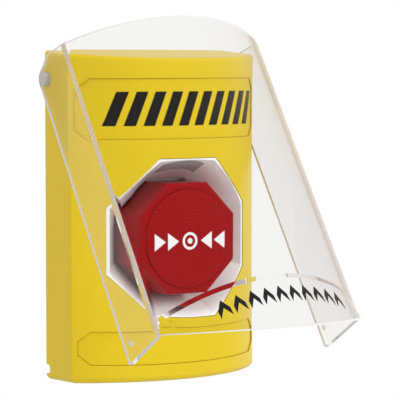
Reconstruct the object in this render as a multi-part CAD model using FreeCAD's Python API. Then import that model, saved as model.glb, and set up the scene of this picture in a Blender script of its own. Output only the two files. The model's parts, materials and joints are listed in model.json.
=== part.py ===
import FreeCAD, Part
import math
import os

# Wall-mounted emergency push button with a lift-up clear cover, in millimetres.
# X runs to the right, Y into the wall, Z up. The back plane is y = 0 and the front faces -Y.
# The origin is the centre of the two wall-box screw holes.

V = FreeCAD.Vector
ORIGIN = V(0, 0, 0)
ALONG_X = V(1, 0, 0)
ALONG_Y = V(0, 1, 0)
ALONG_Z = V(0, 0, 1)

# How far a cut runs past an open face
PAST = 1.0

# Housing shell
HOUSING_WIDTH = 80.0
HOUSING_HEIGHT = 122.0
SIDE_DEPTH = 18.7
FRONT_BOW = 17.9
HOUSING_WALL = 2.5
TOP_DRAFT = 0.035
BEVEL_BOW = 8.5
BEVEL_SLOPE = 0.46
CORNER_FILLET = 1.6
BEVEL_FILLET = 1.2

# Sunk panels on the front, with a thin printed plate in each
PANEL_SIDE_MARGIN = 1.6
PANEL_CHAMFER_WIDTH = 3.6
PANEL_SINK = 0.5
LABEL_THICKNESS = 0.5
LABEL_CLEARANCE = 0.2
UPPER_PANEL_OVER_OPENING = 7.05
UPPER_PANEL_TOP_MARGIN = 10.6
UPPER_CHAMFER_SHARE = 0.17
LOWER_PANEL_UNDER_OPENING = 3.55
LOWER_PANEL_BOTTOM_MARGIN = 7.6
LOWER_CHAMFER_SHARE = 0.29

# Octagonal dish around the button
BUTTON_CENTRE_Z = -8.05
OPENING_FLATS = 58.8
DISH_CLEARANCE = 0.2
DISH_RIM = 0.9
DISH_RECESS = 0.3
DISH_WALL = 1.6
WELL_EDGE_DEPTH = 19.5
WELL_FLOOR_DEPTH = 14.0
WELL_FLOOR = 1.5
WELL_GAP = 0.7
FLANGE_HALF_WIDTH = 32.0
FLANGE_HALF_HEIGHT = 35.0
FLANGE_CORNER = 6.0
FLANGE_THICKNESS = 1.5
BOSS_SPAN_X = 53.0
BOSS_SPAN_Z = 53.0
BOSS_RADIUS = 3.0
BEZEL_SCREW_RADIUS = 1.25
BEZEL_SCREW_LENGTH = 6.0
BEZEL_SCREW_HEAD = 1.6
SCREW_END_GAP = 0.5
SCREW_SLOT_WIDTH = 0.6
SCREW_SLOT_DEPTH = 0.5
SCREW_HEAD_ROUNDING = 0.4

# Status window in the dish's top facet
LENS_HALF_LENGTH = 8.9
LENS_OUTER_RADIUS = 28.4
LENS_BAND = 3.2
LENS_GAP = 0.1

# Push button
BUTTON_FLATS = 40.8
BUTTON_FACE_DEPTH = 35.15
BUTTON_SKIRT_DEPTH = 18.5
BUTTON_WALL = 2.2
BUTTON_TOP = 2.6
BUTTON_ROUNDING = 0.8
FACE_RADIUS = 18.2
FACE_RECESS = 1.3
FACE_PROUD = 0.45
FACE_ROUNDING = 0.4
FACE_GAP = 0.15
PRESS_TRAVEL = 4.0

# Operator behind the button
SLEEVE_RADIUS = 7.0
SLEEVE_END_GAP = 0.4
COLLAR_RADIUS = 10.0
COLLAR_THICKNESS = 1.5
NUT_FLATS = 19.0
NUT_THICKNESS = 2.8
NUT_CORNER_CUT = 0.4
STEM_RADIUS = 4.5
RUNNING_CLEARANCE = 0.05
YOKE_HALF_LENGTH = 11.0
YOKE_HALF_HEIGHT = 3.5
YOKE_THICKNESS = 1.5
YOKE_CORNER = 1.0
YOKE_GAP = 0.3
YOKE_END_GAP = 0.5
STEM_SCREW_RADIUS = 1.6
STEM_SCREW_LENGTH = 9.0
STEM_SCREW_HEAD = 0.8
STEM_SCREW_HEAD_GAP = 0.1
SPRING_MEAN_RADIUS = 8.3
SPRING_WIRE = 0.6
SPRING_TURNS = 5.0
SPRING_STEPS = 16
SPRING_WIRE_SIDES = 6

# Contact blocks on their carrier
CARRIER_HALF_WIDTH = 15.0
CARRIER_HALF_HEIGHT = 17.0
CARRIER_THICKNESS = 2.0
CARRIER_CORNER = 3.0
CARRIER_LEG = 1.5
CARRIER_FOOT_INNER = 11.6
CARRIER_LEG_HALF_WIDTH = 5.0
CARRIER_SCREW_OFFSET = 14.0
CARRIER_SCREW_RADIUS = 1.0
CARRIER_SCREW_LENGTH = 4.2
CARRIER_SCREW_HEAD = 1.2
CARRIER_SCREW_HEAD_GAP = 0.4
CARRIER_BOSS_HEIGHT = 3.0
CARRIER_BOSS_RADIUS = 2.0
CONTACT_SPACING = 14.0
BLOCK_WIDTH = 11.6
BLOCK_DEPTH = 16.2
BLOCK_HEIGHT = 22.0
BLOCK_WALL = 1.2
BLOCK_ROUNDING = 0.6
PLUNGER_RADIUS = 1.8
PLUNGER_END_RADIUS = 1.2
PLUNGER_END_PROUD = 1.0
PLUNGER_GAP = 0.1
PLUNGER_HOLE_GAP = 0.15
BRIDGE_DEPTH = 6.2
BRIDGE_THICKNESS = 0.6
BRIDGE_LENGTH = 15.0
BRIDGE_WIDTH = 4.4
BRIDGE_CORNER = 1.0
CONTACT_OPEN_GAP = 4.3
STRIP_WIDTH = 3.0
STRIP_INNER_END = 4.2
STRIP_OVERHANG = 4.4
TERMINAL_SCREW_RADIUS = 1.1
TERMINAL_HEAD_RADIUS = 2.0
TERMINAL_SCREW_LENGTH = 3.0
TERMINAL_SCREW_HEAD = 1.4
CONTACT_SPRING_RADIUS = 2.4
CONTACT_SPRING_WIRE = 0.5
CONTACT_SPRING_TURNS = 3.5

# Lamp board behind the status window
BOARD_HALF_WIDTH = 13.0
BOARD_OVER_CENTRE = 28.85
BOARD_HEIGHT = 8.6
BOARD_THICKNESS = 1.2
BOARD_DEPTH = 27.5
BOARD_POST_X = 10.0
BOARD_POST_RADIUS = 2.0
BOARD_PIN_RADIUS = 1.0
BOARD_PIN_PROUD = 0.8
LAMP_RADIUS = 2.0
LAMP_LENGTH = 4.0
LAMP_COLLAR = 0.4
LAMP_COLLAR_HEIGHT = 0.8

# Back plate for the wall box
PLATE_THICKNESS = 2.0
PLATE_SIDE_GAP = 1.9
PLATE_END_GAP = 0.3
PLATE_CORNER = 3.0
WALL_BOX_SPACING = 83.3
WALL_BOX_HOLE_RADIUS = 2.1
WIRE_OPENING_WIDTH = 46.0
WIRE_OPENING_HEIGHT = 62.0
WIRE_OPENING_CORNER = 5.0
TAB_WIDTH = 16.0
TAB_LENGTH = 11.0
TAB_THICKNESS = 3.0
RIB_THICKNESS = 1.6
LOCK_SCREW_DEPTH = 7.0
LOCK_SCREW_RADIUS = 1.5
LOCK_SCREW_HEAD_RADIUS = 2.8
LOCK_SCREW_HEAD = 1.2
LOCK_SCREW_GAP = 0.1

# Clear cover, described in its closed place
COVER_WALL = 2.1
COVER_SIDE_GAP = 0.8
COVER_BACK_GAP = 0.5
COVER_CORNER_GAP = 2.1
COVER_CROWN_GAP = 2.9
COVER_TOP_MARGIN = 7.5
COVER_FOOT = 3.5
KINK_DEPTH = 11.0
KINK_TOP_MARGIN = 4.5
HINGE_DEPTH = 4.0
HINGE_TOP_MARGIN = 10.5
LOBE_RADIUS = 3.5
LIP_TILT = math.radians(11.0)
LIP_FOLD_OVER_FOOT = 7.8
LIP_FOLD_SLOPE = 0.31
LIP_FOOT_SLOPE = 0.5
LIP_REACH = 5.2
NUB_RADIUS = 1.2
NUB_HEIGHT = 0.5
NUB_DEPTH = 4.4
NUB_OVER_FOOT = 2.8
NOTCH_RADIUS = 1.75
NOTCH_LENGTH = 2.8
NOTCH_OVER_FOOT = 4.1
OPEN_ANGLE = 33.2

# Hinge pins
PIN_RADIUS = 2.5
PIN_PROUD = 0.5
PIN_INNER_REACH = 1.3

# Sizes that follow from those above
HALF_WIDTH = HOUSING_WIDTH / 2
HALF_HEIGHT = HOUSING_HEIGHT / 2
FRONT_DEPTH = SIDE_DEPTH + FRONT_BOW
BOW_RADIUS = (HALF_WIDTH**2 + FRONT_BOW**2) / (2 * FRONT_BOW)
BOW_CENTRE_Y = BOW_RADIUS - FRONT_DEPTH
PANEL_HALF_WIDTH = HALF_WIDTH - PANEL_SIDE_MARGIN
OPENING_TOP = BUTTON_CENTRE_Z + OPENING_FLATS / 2
OPENING_BOTTOM = BUTTON_CENTRE_Z - OPENING_FLATS / 2
UPPER_PANEL = (OPENING_TOP + UPPER_PANEL_OVER_OPENING, HALF_HEIGHT - UPPER_PANEL_TOP_MARGIN)
LOWER_PANEL = (LOWER_PANEL_BOTTOM_MARGIN - HALF_HEIGHT, OPENING_BOTTOM - LOWER_PANEL_UNDER_OPENING)
DISH_FLATS = OPENING_FLATS - 2 * DISH_CLEARANCE
WELL_FLATS = BUTTON_FLATS + 2 * WELL_GAP
WELL_BACK_DEPTH = WELL_FLOOR_DEPTH - WELL_FLOOR
LABEL_SINK = PANEL_SINK + LABEL_THICKNESS
CAP_UNDERSIDE_DEPTH = BUTTON_FACE_DEPTH - FACE_RECESS - BUTTON_TOP + FACE_PROUD
SLEEVE_REACH = CAP_UNDERSIDE_DEPTH - PRESS_TRAVEL - SLEEVE_END_GAP
NUT_BACK_DEPTH = WELL_BACK_DEPTH - NUT_THICKNESS
YOKE_FRONT_DEPTH = NUT_BACK_DEPTH - YOKE_GAP
YOKE_BACK_DEPTH = YOKE_FRONT_DEPTH - YOKE_THICKNESS
CARRIER_FRONT_DEPTH = YOKE_BACK_DEPTH - PRESS_TRAVEL - YOKE_END_GAP
CARRIER_BACK_DEPTH = CARRIER_FRONT_DEPTH - CARRIER_THICKNESS
BOARD_BOTTOM = BUTTON_CENTRE_Z + BOARD_OVER_CENTRE
COVER_INNER_HALF = HALF_WIDTH + COVER_SIDE_GAP
COVER_HALF_WIDTH = COVER_INNER_HALF + COVER_WALL
COVER_SIDE_DEPTH = SIDE_DEPTH + COVER_CORNER_GAP + COVER_WALL
COVER_BOW = FRONT_DEPTH + COVER_CROWN_GAP + COVER_WALL - COVER_SIDE_DEPTH
COVER_TOP = HALF_HEIGHT - COVER_TOP_MARGIN
COVER_BOTTOM = -HALF_HEIGHT - COVER_FOOT
KINK_HEIGHT = HALF_HEIGHT - KINK_TOP_MARGIN
HINGE_HEIGHT = HALF_HEIGHT - HINGE_TOP_MARGIN
LIP_FOLD_HEIGHT = LIP_FOLD_OVER_FOOT - HALF_HEIGHT
NUB_Z = NUB_OVER_FOOT - HALF_HEIGHT
NOTCH_Z = NOTCH_OVER_FOOT - HALF_HEIGHT
HINGE_POINT = V(0, -HINGE_DEPTH, HINGE_HEIGHT)


# Basic shapes

def box(x_low, x_high, y_low, y_high, z_low, z_high):
    corner = V(x_low, y_low, z_low)
    return Part.makeBox(x_high - x_low, y_high - y_low, z_high - z_low, corner)


def rod(x, z, radius, y_start, y_end):
    """Round bar along Y between two y values."""
    return Part.makeCylinder(radius, y_end - y_start, V(x, y_start, z), ALONG_Y)


def button_rod(radius, y_start, y_end):
    """Round bar on the button's axis."""
    return rod(0, BUTTON_CENTRE_Z, radius, y_start, y_end)


def bar_along_x(radius, y, z):
    """Round bar across the whole width."""
    return Part.makeCylinder(radius, 2 * HOUSING_WIDTH, V(-HOUSING_WIDTH, y, z), ALONG_X)


def prism_along_y(points, y_start, y_end):
    """Solid from an outline of (x, z) points."""
    corners = [V(x, y_start, z) for x, z in points]
    face = Part.Face(Part.makePolygon(corners + corners[:1]))
    return face.extrude(V(0, y_end - y_start, 0))


def prism_along_x(points, x_start, x_end):
    """Solid from an outline of (y, z) points."""
    corners = [V(x_start, y, z) for y, z in points]
    face = Part.Face(Part.makePolygon(corners + corners[:1]))
    return face.extrude(V(x_end - x_start, 0, 0))


def octagon(across_flats, centre_z):
    """Regular octagon with flats at the top and the sides, as (x, z) points."""
    flat = across_flats / 2
    corner = flat * math.tan(math.radians(22.5))
    ring = [(corner, flat), (flat, corner), (flat, -corner), (corner, -flat)]
    ring += [(-x, z) for x, z in reversed(ring)]
    return [(x, z + centre_z) for x, z in ring]


def chamfered_rectangle(half_width, low, high, cut_width, cut_height):
    return [
        (half_width, low + cut_height),
        (half_width, high - cut_height),
        (half_width - cut_width, high),
        (cut_width - half_width, high),
        (-half_width, high - cut_height),
        (-half_width, low + cut_height),
        (cut_width - half_width, low),
        (half_width - cut_width, low),
    ]


def hexagon_prism(across_flats, z, y_start, y_end):
    radius = across_flats / math.sqrt(3)
    angles = [math.radians(60 * k) for k in range(6)]
    points = [(radius * math.cos(a), z + radius * math.sin(a)) for a in angles]
    return prism_along_y(points, y_start, y_end)


def solid_from_rings(rings):
    """Closed solid whose skin joins each ring of points to the next one."""
    faces = [polygon_face(rings[0]), polygon_face(rings[-1])]
    for near, far in zip(rings, rings[1:]):
        for k in range(len(near)):
            faces.append(polygon_face([near[k - 1], near[k], far[k]]))
            faces.append(polygon_face([near[k - 1], far[k], far[k - 1]]))
    shell = Part.makeShell(faces)
    shell.sewShape()
    solid = Part.makeSolid(shell)
    return solid if solid.Volume > 0 else solid.reversed()


def polygon_face(points):
    return Part.Face(Part.makePolygon(points + points[:1]))


def coil_spring(x, z, radius, wire, turns, y_start, y_end):
    """Compression spring that seats on both of its end planes."""
    half = wire / 2
    count = round(turns * SPRING_STEPS)
    rings = []
    for k in range(count + 1):
        turn = 2 * math.pi * k / SPRING_STEPS
        y = y_start + half + (y_end - y_start - wire) * k / count
        ring = []
        for corner in range(SPRING_WIRE_SIDES):
            around = math.pi / 2 + 2 * math.pi * corner / SPRING_WIRE_SIDES
            reach = radius + half * math.cos(around)
            across, up = reach * math.cos(turn), reach * math.sin(turn)
            ring.append(V(x + across, y + half * math.sin(around), z + up))
        rings.append(ring)
    return solid_from_rings(rings)


def one_solid(shape):
    return shape.removeSplitter().Solids[0]


# Bowed forms that the housing and everything seated on its front share

def bow_arc(half_width, side_depth, bow, z):
    """Front line of a bowed plan, from left to right, at one height."""
    left = V(-half_width, -side_depth, z)
    crown = V(0, -side_depth - bow, z)
    right = V(half_width, -side_depth, z)
    return Part.Arc(left, crown, right).toShape()


def bow_plan(half_width, side_depth, bow, back, z):
    """Plan outline: straight sides and back, bowed front."""
    arc = bow_arc(half_width, side_depth, bow, z)
    right = Part.makeLine(V(half_width, -side_depth, z), V(half_width, back, z))
    rear = Part.makeLine(V(half_width, back, z), V(-half_width, back, z))
    left = Part.makeLine(V(-half_width, back, z), V(-half_width, -side_depth, z))
    return Part.Face(Part.Wire([arc, right, rear, left]))


def bow_cylinder(inset):
    """The round body whose skin is the housing's front, set in by a distance."""
    foot = V(0, BOW_CENTRE_Y, -HOUSING_HEIGHT)
    return Part.makeCylinder(BOW_RADIUS - inset, 2 * HOUSING_HEIGHT, foot, ALONG_Z)


def front_depth_at(x, inset=0.0):
    """How far the bowed front stands from the wall at x."""
    return math.sqrt((BOW_RADIUS - inset) ** 2 - x**2) - BOW_CENTRE_Y


def bevel_block(inset):
    """Upper half space below the bevel, whose face leans forward and down."""
    lift = HOUSING_WALL
    drop = inset * math.sqrt(1 + BEVEL_SLOPE**2)
    crease = HALF_HEIGHT - TOP_DRAFT * SIDE_DEPTH - drop
    back = HOUSING_HEIGHT / BEVEL_SLOPE
    plan = bow_plan(HALF_WIDTH + HOUSING_WALL, SIDE_DEPTH, BEVEL_BOW, back, crease + lift)
    plan.translate(V(0, lift / BEVEL_SLOPE, 0))
    fall = HALF_HEIGHT + lift
    return plan.extrude(V(0, -fall / BEVEL_SLOPE, -fall))


def bowed_body(inset, back):
    """Housing's outer form, or its inner form when set in by the wall."""
    half = HALF_WIDTH - inset
    side_depth = front_depth_at(half, inset)
    bow = FRONT_DEPTH - inset - side_depth
    column = bow_plan(half, side_depth, bow, back, 0).extrude(V(0, 0, HALF_HEIGHT))
    top = HALF_HEIGHT - inset
    reach = 2 * FRONT_DEPTH
    side = [(back, 0), (back, top + TOP_DRAFT * back), (-reach, top - TOP_DRAFT * reach), (-reach, 0)]
    upper = column.common(prism_along_x(side, -HALF_WIDTH, HALF_WIDTH))
    upper = upper.common(bevel_block(inset))
    lower = upper.mirror(ORIGIN, ALONG_Z)
    return one_solid(upper.fuse(lower))


def bow_layer(outer_inset, inner_inset):
    """Thin sheet that follows the housing's front between two insets."""
    return bow_cylinder(outer_inset).cut(bow_cylinder(inner_inset))


def edges_near(shape, test):
    return [edge for edge in shape.Edges if test(edge)]


# Housing

def panel_prism(panel, chamfer_share, gap=0.0):
    """Long octagon of a panel, as a solid through the bowed front."""
    low, high = panel
    half = PANEL_HALF_WIDTH - gap
    chamfer = chamfer_share * (high - low)
    outline = chamfered_rectangle(half, low + gap, high - gap, PANEL_CHAMFER_WIDTH, chamfer)
    return prism_along_y(outline, -2 * FRONT_DEPTH, -SIDE_DEPTH / 2)


def is_front_corner(edge):
    return edge.BoundBox.ZLength > HALF_HEIGHT and edge.BoundBox.YMax < -SIDE_DEPTH / 2


def is_bevel_crease(edge):
    """The line where the top or bottom face turns into the bevel."""
    crease = HALF_HEIGHT - TOP_DRAFT * (SIDE_DEPTH + BEVEL_BOW)
    bounds = edge.BoundBox
    in_front = bounds.YMax < -SIDE_DEPTH / 2
    return bounds.XLength > HALF_WIDTH and in_front and abs(bounds.Center.z) > crease - 1


def housing_blank():
    body = bowed_body(0, 0)
    body = body.makeFillet(CORNER_FILLET, edges_near(body, is_front_corner))
    return body.makeFillet(BEVEL_FILLET, edges_near(body, is_bevel_crease))


def bezel_bosses():
    """Posts behind the front wall that take the dish's screws."""
    posts = []
    for x in (-BOSS_SPAN_X / 2, BOSS_SPAN_X / 2):
        for z in (-BOSS_SPAN_Z / 2, BOSS_SPAN_Z / 2):
            start = -front_depth_at(abs(x) + BOSS_RADIUS, HOUSING_WALL / 2)
            post = rod(x, BUTTON_CENTRE_Z + z, BOSS_RADIUS, start, -WELL_EDGE_DEPTH)
            posts.append(post)
    return posts


def bezel_screw_axes():
    for x in (-BOSS_SPAN_X / 2, BOSS_SPAN_X / 2):
        for z in (-BOSS_SPAN_Z / 2, BOSS_SPAN_Z / 2):
            yield x, BUTTON_CENTRE_Z + z


def hook_ribs():
    """Pair of ribs under the top wall that hold the back plate's upper tab."""
    top = HALF_HEIGHT - HOUSING_WALL / 2
    low = plate_top() - TAB_THICKNESS - PLATE_END_GAP - RIB_THICKNESS
    back = -PLATE_THICKNESS - PLATE_END_GAP
    inner = TAB_WIDTH / 2 + PLATE_END_GAP
    outer = inner + RIB_THICKNESS
    left = box(-outer, -inner, -TAB_LENGTH, back, low, top)
    right = box(inner, outer, -TAB_LENGTH, back, low, top)
    shelf = box(-outer, outer, -TAB_LENGTH, back, low, low + RIB_THICKNESS)
    return [left, right, shelf]


def side_notch():
    """Half-round slots in both back edges, near the bottom."""
    end = NOTCH_RADIUS - NOTCH_LENGTH
    low, high = NOTCH_Z - NOTCH_RADIUS, NOTCH_Z + NOTCH_RADIUS
    slot = box(-HOUSING_WIDTH, HOUSING_WIDTH, end, PAST, low, high)
    inner = HALF_WIDTH - HOUSING_WALL
    inside = box(-inner, inner, -SIDE_DEPTH, PAST, -HALF_HEIGHT, HALF_HEIGHT)
    return slot.fuse(bar_along_x(NOTCH_RADIUS, end, NOTCH_Z)).cut(inside)


def make_housing():
    body = housing_blank().cut(bowed_body(HOUSING_WALL, HOUSING_WALL))
    body = body.fuse(bezel_bosses() + hook_ribs())
    layer = bow_layer(-HOUSING_WALL, LABEL_SINK)
    body = body.cut(panel_prism(UPPER_PANEL, UPPER_CHAMFER_SHARE).common(layer))
    body = body.cut(panel_prism(LOWER_PANEL, LOWER_CHAMFER_SHARE).common(layer))
    hole = prism_along_y(octagon(OPENING_FLATS, BUTTON_CENTRE_Z), -2 * FRONT_DEPTH, -WELL_EDGE_DEPTH)
    body = body.cut(hole)
    pilot_end = -WELL_EDGE_DEPTH - BEZEL_SCREW_LENGTH - SCREW_END_GAP
    for x, z in bezel_screw_axes():
        body = body.cut(rod(x, z, BEZEL_SCREW_RADIUS, pilot_end, -WELL_EDGE_DEPTH))
    body = body.cut(bar_along_x(PIN_RADIUS + RUNNING_CLEARANCE, -HINGE_DEPTH, HINGE_HEIGHT))
    body = body.cut(side_notch())
    body = body.cut(lock_screw_hole())
    return one_solid(body)


def make_label(panel, chamfer_share):
    outline = panel_prism(panel, chamfer_share, LABEL_CLEARANCE)
    return one_solid(outline.common(bow_layer(PANEL_SINK, LABEL_SINK)))


# Dish around the button

def funnel(well_flats, mouth_flats):
    """Eight sloping facets from the well's edge to an octagon on the bowed front, run on past it."""
    inner = octagon(well_flats, BUTTON_CENTRE_Z)
    mouth = octagon(mouth_flats, BUTTON_CENTRE_Z)
    reach = FRONT_DEPTH + SIDE_DEPTH / 2
    start, end = [], []
    for (xi, zi), (xo, zo) in zip(inner, mouth):
        grow = (reach - WELL_EDGE_DEPTH) / (front_depth_at(abs(xo)) - WELL_EDGE_DEPTH)
        start.append(V(xi, -WELL_EDGE_DEPTH, zi))
        end.append(V(xi + (xo - xi) * grow, -reach, zi + (zo - zi) * grow))
    wires = [Part.makePolygon(ring + ring[:1]) for ring in (start, end)]
    return Part.makeLoft(wires, True, True)


def dish_mouth_flats():
    return DISH_FLATS - 2 * DISH_RIM


def dish_flange():
    low = BUTTON_CENTRE_Z - FLANGE_HALF_HEIGHT
    high = BUTTON_CENTRE_Z + FLANGE_HALF_HEIGHT
    outline = chamfered_rectangle(FLANGE_HALF_WIDTH, low, high, FLANGE_CORNER, FLANGE_CORNER)
    return prism_along_y(outline, -WELL_EDGE_DEPTH, -WELL_EDGE_DEPTH + FLANGE_THICKNESS)


def lens_outline(gap, half_length):
    """Arched window, as a solid through the dish's top facet."""
    front, back = -2 * FRONT_DEPTH, -WELL_EDGE_DEPTH
    outer = button_rod(LENS_OUTER_RADIUS + gap, front, back)
    inner = button_rod(LENS_OUTER_RADIUS - LENS_BAND - gap, front, back)
    strip = box(-half_length, half_length, front, back, BUTTON_CENTRE_Z, HALF_HEIGHT)
    return outer.cut(inner).common(strip)


def dish_shell():
    outer = funnel(WELL_FLATS + 2 * DISH_WALL, dish_mouth_flats() + 2 * DISH_WALL)
    inner = funnel(WELL_FLATS, dish_mouth_flats())
    limit = prism_along_y(octagon(DISH_FLATS, BUTTON_CENTRE_Z), -2 * FRONT_DEPTH, -WELL_EDGE_DEPTH)
    return outer.common(limit).common(bow_cylinder(DISH_RECESS)).cut(inner)


def board_post_places():
    z = BOARD_BOTTOM + BOARD_HEIGHT / 2
    return [(-BOARD_POST_X, z), (BOARD_POST_X, z)]


def board_posts():
    """Two stepped posts on the flange: the board rests on their shoulders."""
    posts = []
    for x, z in board_post_places():
        posts.append(rod(x, z, BOARD_POST_RADIUS, -BOARD_DEPTH + BOARD_THICKNESS, -WELL_EDGE_DEPTH))
        posts.append(rod(x, z, BOARD_PIN_RADIUS, -BOARD_DEPTH - BOARD_PIN_PROUD, -WELL_EDGE_DEPTH))
    return posts


def carrier_screw_places():
    low = BUTTON_CENTRE_Z - CARRIER_SCREW_OFFSET
    high = BUTTON_CENTRE_Z + CARRIER_SCREW_OFFSET
    return [(0, low), (0, high)]


def button_well():
    """Eight-sided cup behind the button, open to the front."""
    outer = octagon(WELL_FLATS + 2 * DISH_WALL, BUTTON_CENTRE_Z)
    inner = octagon(WELL_FLATS, BUTTON_CENTRE_Z)
    cup = prism_along_y(outer, -WELL_EDGE_DEPTH, -WELL_BACK_DEPTH)
    return cup, prism_along_y(inner, -WELL_EDGE_DEPTH, -WELL_FLOOR_DEPTH)


def make_dish():
    cup, hollow = button_well()
    body = dish_shell().fuse([dish_flange(), cup]).cut(hollow)
    body = body.fuse(board_posts())
    boss_front = -WELL_FLOOR_DEPTH - CARRIER_BOSS_HEIGHT
    pilot_end = -WELL_BACK_DEPTH + CARRIER_LEG - CARRIER_SCREW_LENGTH - SCREW_END_GAP
    for x, z in carrier_screw_places():
        body = body.fuse(rod(x, z, CARRIER_BOSS_RADIUS, boss_front, -WELL_FLOOR_DEPTH))
        body = body.cut(rod(x, z, CARRIER_SCREW_RADIUS, pilot_end, 0))
    for x, z in bezel_screw_axes():
        body = body.cut(rod(x, z, BEZEL_SCREW_RADIUS, -2 * FRONT_DEPTH, 0))
    body = body.cut(button_rod(SLEEVE_RADIUS, -2 * FRONT_DEPTH, 0))
    body = body.cut(lens_outline(LENS_GAP, LENS_HALF_LENGTH + LENS_GAP))
    return one_solid(body)


def make_lens():
    outer = funnel(WELL_FLATS + 2 * DISH_WALL, dish_mouth_flats() + 2 * DISH_WALL)
    inner = funnel(WELL_FLATS, dish_mouth_flats())
    body = lens_outline(0, LENS_HALF_LENGTH).common(outer).cut(inner)
    return one_solid(body.common(bow_cylinder(DISH_RECESS + LENS_GAP)))


def make_lamp_board():
    half, front, back = BOARD_HALF_WIDTH, -BOARD_DEPTH, -BOARD_DEPTH + BOARD_THICKNESS
    body = box(-half, half, front, back, BOARD_BOTTOM, BOARD_BOTTOM + BOARD_HEIGHT)
    for x, z in board_post_places():
        body = body.cut(rod(x, z, BOARD_PIN_RADIUS, front, back))
    return body


def make_lamp():
    z = BOARD_BOTTOM + LAMP_RADIUS + 2 * LAMP_COLLAR
    barrel_length = LAMP_LENGTH - LAMP_RADIUS
    collar = rod(0, z, LAMP_RADIUS + LAMP_COLLAR, -BOARD_DEPTH - LAMP_COLLAR_HEIGHT, -BOARD_DEPTH)
    barrel = rod(0, z, LAMP_RADIUS, -BOARD_DEPTH - barrel_length, -BOARD_DEPTH)
    dome = Part.makeSphere(LAMP_RADIUS, V(0, -BOARD_DEPTH - barrel_length, z))
    return one_solid(collar.fuse(barrel).fuse(dome))


def pan_screw(place, radius, head_radius, head_height, seat, length):
    """Screw along Y: domed head behind the seat plane, shank running forward."""
    x, z = place
    shank = rod(x, z, radius, seat - length, seat)
    top = seat + head_height
    head = rod(x, z, head_radius, seat, top)
    rim = edges_near(head, lambda e: e.BoundBox.YMin > seat + head_height / 2)
    head = head.makeFillet(SCREW_HEAD_ROUNDING * head_height, rim)
    half = SCREW_SLOT_WIDTH / 2
    slot = box(x - head_radius, x + head_radius, top - SCREW_SLOT_DEPTH, top, z - half, z + half)
    return one_solid(shank.fuse(head).cut(slot))


def make_bezel_screws():
    seat = -WELL_EDGE_DEPTH + FLANGE_THICKNESS
    length = FLANGE_THICKNESS + BEZEL_SCREW_LENGTH
    sizes = (BEZEL_SCREW_RADIUS, 2 * BEZEL_SCREW_RADIUS, BEZEL_SCREW_HEAD, seat, length)
    return Part.makeCompound([pan_screw(place, *sizes) for place in bezel_screw_axes()])


# Button and operator

def make_button_cap():
    outline = octagon(BUTTON_FLATS, BUTTON_CENTRE_Z)
    outer = prism_along_y(outline, -BUTTON_FACE_DEPTH, -BUTTON_SKIRT_DEPTH)
    middle = -(BUTTON_FACE_DEPTH + BUTTON_SKIRT_DEPTH) / 2
    outer = outer.makeFillet(BUTTON_ROUNDING, edges_near(outer, lambda e: e.BoundBox.YMin < middle))
    inner_flats = BUTTON_FLATS - 2 * BUTTON_WALL
    hollow = prism_along_y(octagon(inner_flats, BUTTON_CENTRE_Z), -CAP_UNDERSIDE_DEPTH, 0)
    body = outer.cut(hollow)
    seat = -BUTTON_FACE_DEPTH + FACE_RECESS
    body = body.cut(button_rod(FACE_RADIUS + FACE_GAP, -2 * FRONT_DEPTH, seat))
    body = body.cut(button_rod(STEM_SCREW_RADIUS, -2 * FRONT_DEPTH, 0))
    return one_solid(body)


def make_button_face():
    seat = -BUTTON_FACE_DEPTH + FACE_RECESS
    body = button_rod(FACE_RADIUS, -BUTTON_FACE_DEPTH - FACE_PROUD, seat)
    body = body.makeFillet(FACE_ROUNDING, edges_near(body, lambda e: e.BoundBox.YMax < -BUTTON_FACE_DEPTH))
    head_space = STEM_SCREW_HEAD + STEM_SCREW_HEAD_GAP
    recess = button_rod(2 * STEM_SCREW_RADIUS + FACE_GAP, seat - head_space, seat)
    return one_solid(body.cut(recess))


def make_button_stem():
    shaft = button_rod(STEM_RADIUS, -CAP_UNDERSIDE_DEPTH, -YOKE_BACK_DEPTH)
    low = BUTTON_CENTRE_Z - YOKE_HALF_HEIGHT
    high = BUTTON_CENTRE_Z + YOKE_HALF_HEIGHT
    outline = chamfered_rectangle(YOKE_HALF_LENGTH, low, high, YOKE_CORNER, YOKE_CORNER)
    yoke = prism_along_y(outline, -YOKE_FRONT_DEPTH, -YOKE_BACK_DEPTH)
    front = -CAP_UNDERSIDE_DEPTH
    pilot = button_rod(STEM_SCREW_RADIUS, front, front + STEM_SCREW_LENGTH + SCREW_END_GAP)
    return one_solid(shaft.fuse(yoke).cut(pilot))


def make_stem_screw():
    seat = -BUTTON_FACE_DEPTH + FACE_RECESS
    top = seat - STEM_SCREW_HEAD
    head_radius = 2 * STEM_SCREW_RADIUS
    shank = button_rod(STEM_SCREW_RADIUS, seat, -CAP_UNDERSIDE_DEPTH + STEM_SCREW_LENGTH)
    head = button_rod(head_radius, top, seat)
    low = BUTTON_CENTRE_Z - SCREW_SLOT_WIDTH / 2
    high = BUTTON_CENTRE_Z + SCREW_SLOT_WIDTH / 2
    slot = box(-head_radius, head_radius, top, top + SCREW_SLOT_DEPTH, low, high)
    return one_solid(shank.fuse(head).cut(slot))


def make_sleeve():
    barrel = button_rod(SLEEVE_RADIUS, -SLEEVE_REACH, -NUT_BACK_DEPTH)
    collar = button_rod(COLLAR_RADIUS, -WELL_FLOOR_DEPTH - COLLAR_THICKNESS, -WELL_FLOOR_DEPTH)
    bore = button_rod(STEM_RADIUS + RUNNING_CLEARANCE, -2 * FRONT_DEPTH, 0)
    return one_solid(barrel.fuse(collar).cut(bore))


def make_sleeve_nut():
    nut = hexagon_prism(NUT_FLATS, BUTTON_CENTRE_Z, -WELL_BACK_DEPTH, -NUT_BACK_DEPTH)
    small = NUT_FLATS / 2 + NUT_CORNER_CUT
    front = V(0, -WELL_BACK_DEPTH, BUTTON_CENTRE_Z)
    cone = Part.makeCone(small + NUT_THICKNESS, small, NUT_THICKNESS, front, ALONG_Y)
    return one_solid(nut.common(cone).cut(button_rod(SLEEVE_RADIUS, -2 * FRONT_DEPTH, 0)))


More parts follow.
